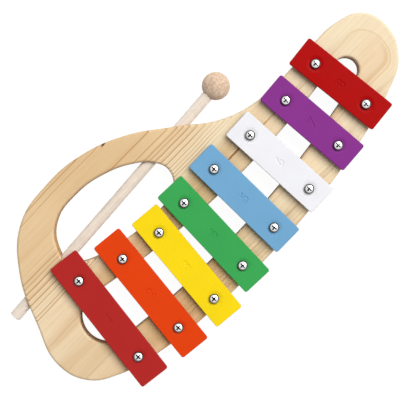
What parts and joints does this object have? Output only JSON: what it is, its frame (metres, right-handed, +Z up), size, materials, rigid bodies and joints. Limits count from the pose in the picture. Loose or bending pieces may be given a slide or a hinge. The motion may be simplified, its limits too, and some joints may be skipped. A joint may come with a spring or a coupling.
{
  "type": "toy xylophone",
  "caption": "Toy xylophone: painted tuned metal bars on screws, over a bowed channel in a pine board with a carrying loop, and a wooden mallet stored through its edge.",
  "frame": {"origin": "below the middle of the whole object, on the plane of the board's underside", "axes": "+X along the row of bars from the longest to the shortest, +Y towards the carrying loop, +Z up out of the board's top"},
  "size_m": [0.3854, 0.1836, 0.03],
  "materials": {
    "pine_board": "sanded and clear coated pine, satin",
    "red_paint": "smooth enamel, satin",
    "orange_paint": "smooth enamel, satin",
    "yellow_paint": "smooth enamel, satin",
    "green_paint": "smooth enamel, satin",
    "blue_paint": "smooth enamel, satin",
    "white_paint": "smooth enamel, satin",
    "purple_paint": "smooth enamel, satin",
    "deep_red_paint": "smooth enamel, satin",
    "screw_steel": "bright plated, polished",
    "bush_rubber": "matte",
    "ball_wood": "turned and sanded, uncoated",
    "stick_wood": "pale dowel, sanded, uncoated"
  },
  "bodies": {
    "frame": {"frame_board": "pine_board", "screw_1_front": "screw_steel", "bush_1_front": "bush_rubber", "screw_1_back": "screw_steel", "bush_1_back": "bush_rubber", "screw_2_front": "screw_steel", "bush_2_front": "bush_rubber", "screw_2_back": "screw_steel", "bush_2_back": "bush_rubber", "screw_3_front": "screw_steel", "bush_3_front": "bush_rubber", "screw_3_back": "screw_steel", "bush_3_back": "bush_rubber", "screw_4_front": "screw_steel", "bush_4_front": "bush_rubber", "screw_4_back": "screw_steel", "bush_4_back": "bush_rubber", "screw_5_front": "screw_steel", "bush_5_front": "bush_rubber", "screw_5_back": "screw_steel", "bush_5_back": "bush_rubber", "screw_6_front": "screw_steel", "bush_6_front": "bush_rubber", "screw_6_back": "screw_steel", "bush_6_back": "bush_rubber", "screw_7_front": "screw_steel", "bush_7_front": "bush_rubber", "screw_7_back": "screw_steel", "bush_7_back": "bush_rubber", "screw_8_front": "screw_steel", "bush_8_front": "bush_rubber", "screw_8_back": "screw_steel", "bush_8_back": "bush_rubber"},
    "bar_1": {"bar_1": "red_paint"},
    "bar_2": {"bar_2": "orange_paint"},
    "bar_3": {"bar_3": "yellow_paint"},
    "bar_4": {"bar_4": "green_paint"},
    "bar_5": {"bar_5": "blue_paint"},
    "bar_6": {"bar_6": "white_paint"},
    "bar_7": {"bar_7": "purple_paint"},
    "bar_8": {"bar_8": "deep_red_paint"},
    "mallet": {"mallet_head": "ball_wood", "mallet_stick": "stick_wood"}
  },
  "joints": [
    {"name": "bar_1_rattle", "type": "slide", "parent": "frame", "child": "bar_1", "axis": [0, 0, 1], "range_m": [0, 0.0005]},
    {"name": "bar_2_rattle", "type": "slide", "parent": "frame", "child": "bar_2", "axis": [0, 0, 1], "range_m": [0, 0.0005]},
    {"name": "bar_3_rattle", "type": "slide", "parent": "frame", "child": "bar_3", "axis": [0, 0, 1], "range_m": [0, 0.0005]},
    {"name": "bar_4_rattle", "type": "slide", "parent": "frame", "child": "bar_4", "axis": [0, 0, 1], "range_m": [0, 0.0005]},
    {"name": "bar_5_rattle", "type": "slide", "parent": "frame", "child": "bar_5", "axis": [0, 0, 1], "range_m": [0, 0.0005]},
    {"name": "bar_6_rattle", "type": "slide", "parent": "frame", "child": "bar_6", "axis": [0, 0, 1], "range_m": [0, 0.0005]},
    {"name": "bar_7_rattle", "type": "slide", "parent": "frame", "child": "bar_7", "axis": [0, 0, 1], "range_m": [0, 0.0005]},
    {"name": "bar_8_rattle", "type": "slide", "parent": "frame", "child": "bar_8", "axis": [0, 0, 1], "range_m": [0, 0.0005]},
    {"name": "mallet_draw", "type": "slide", "parent": "frame", "child": "mallet", "axis": [0.9987, 0.0502, 0], "range_m": [-0.025, 0.215]}
  ]
}
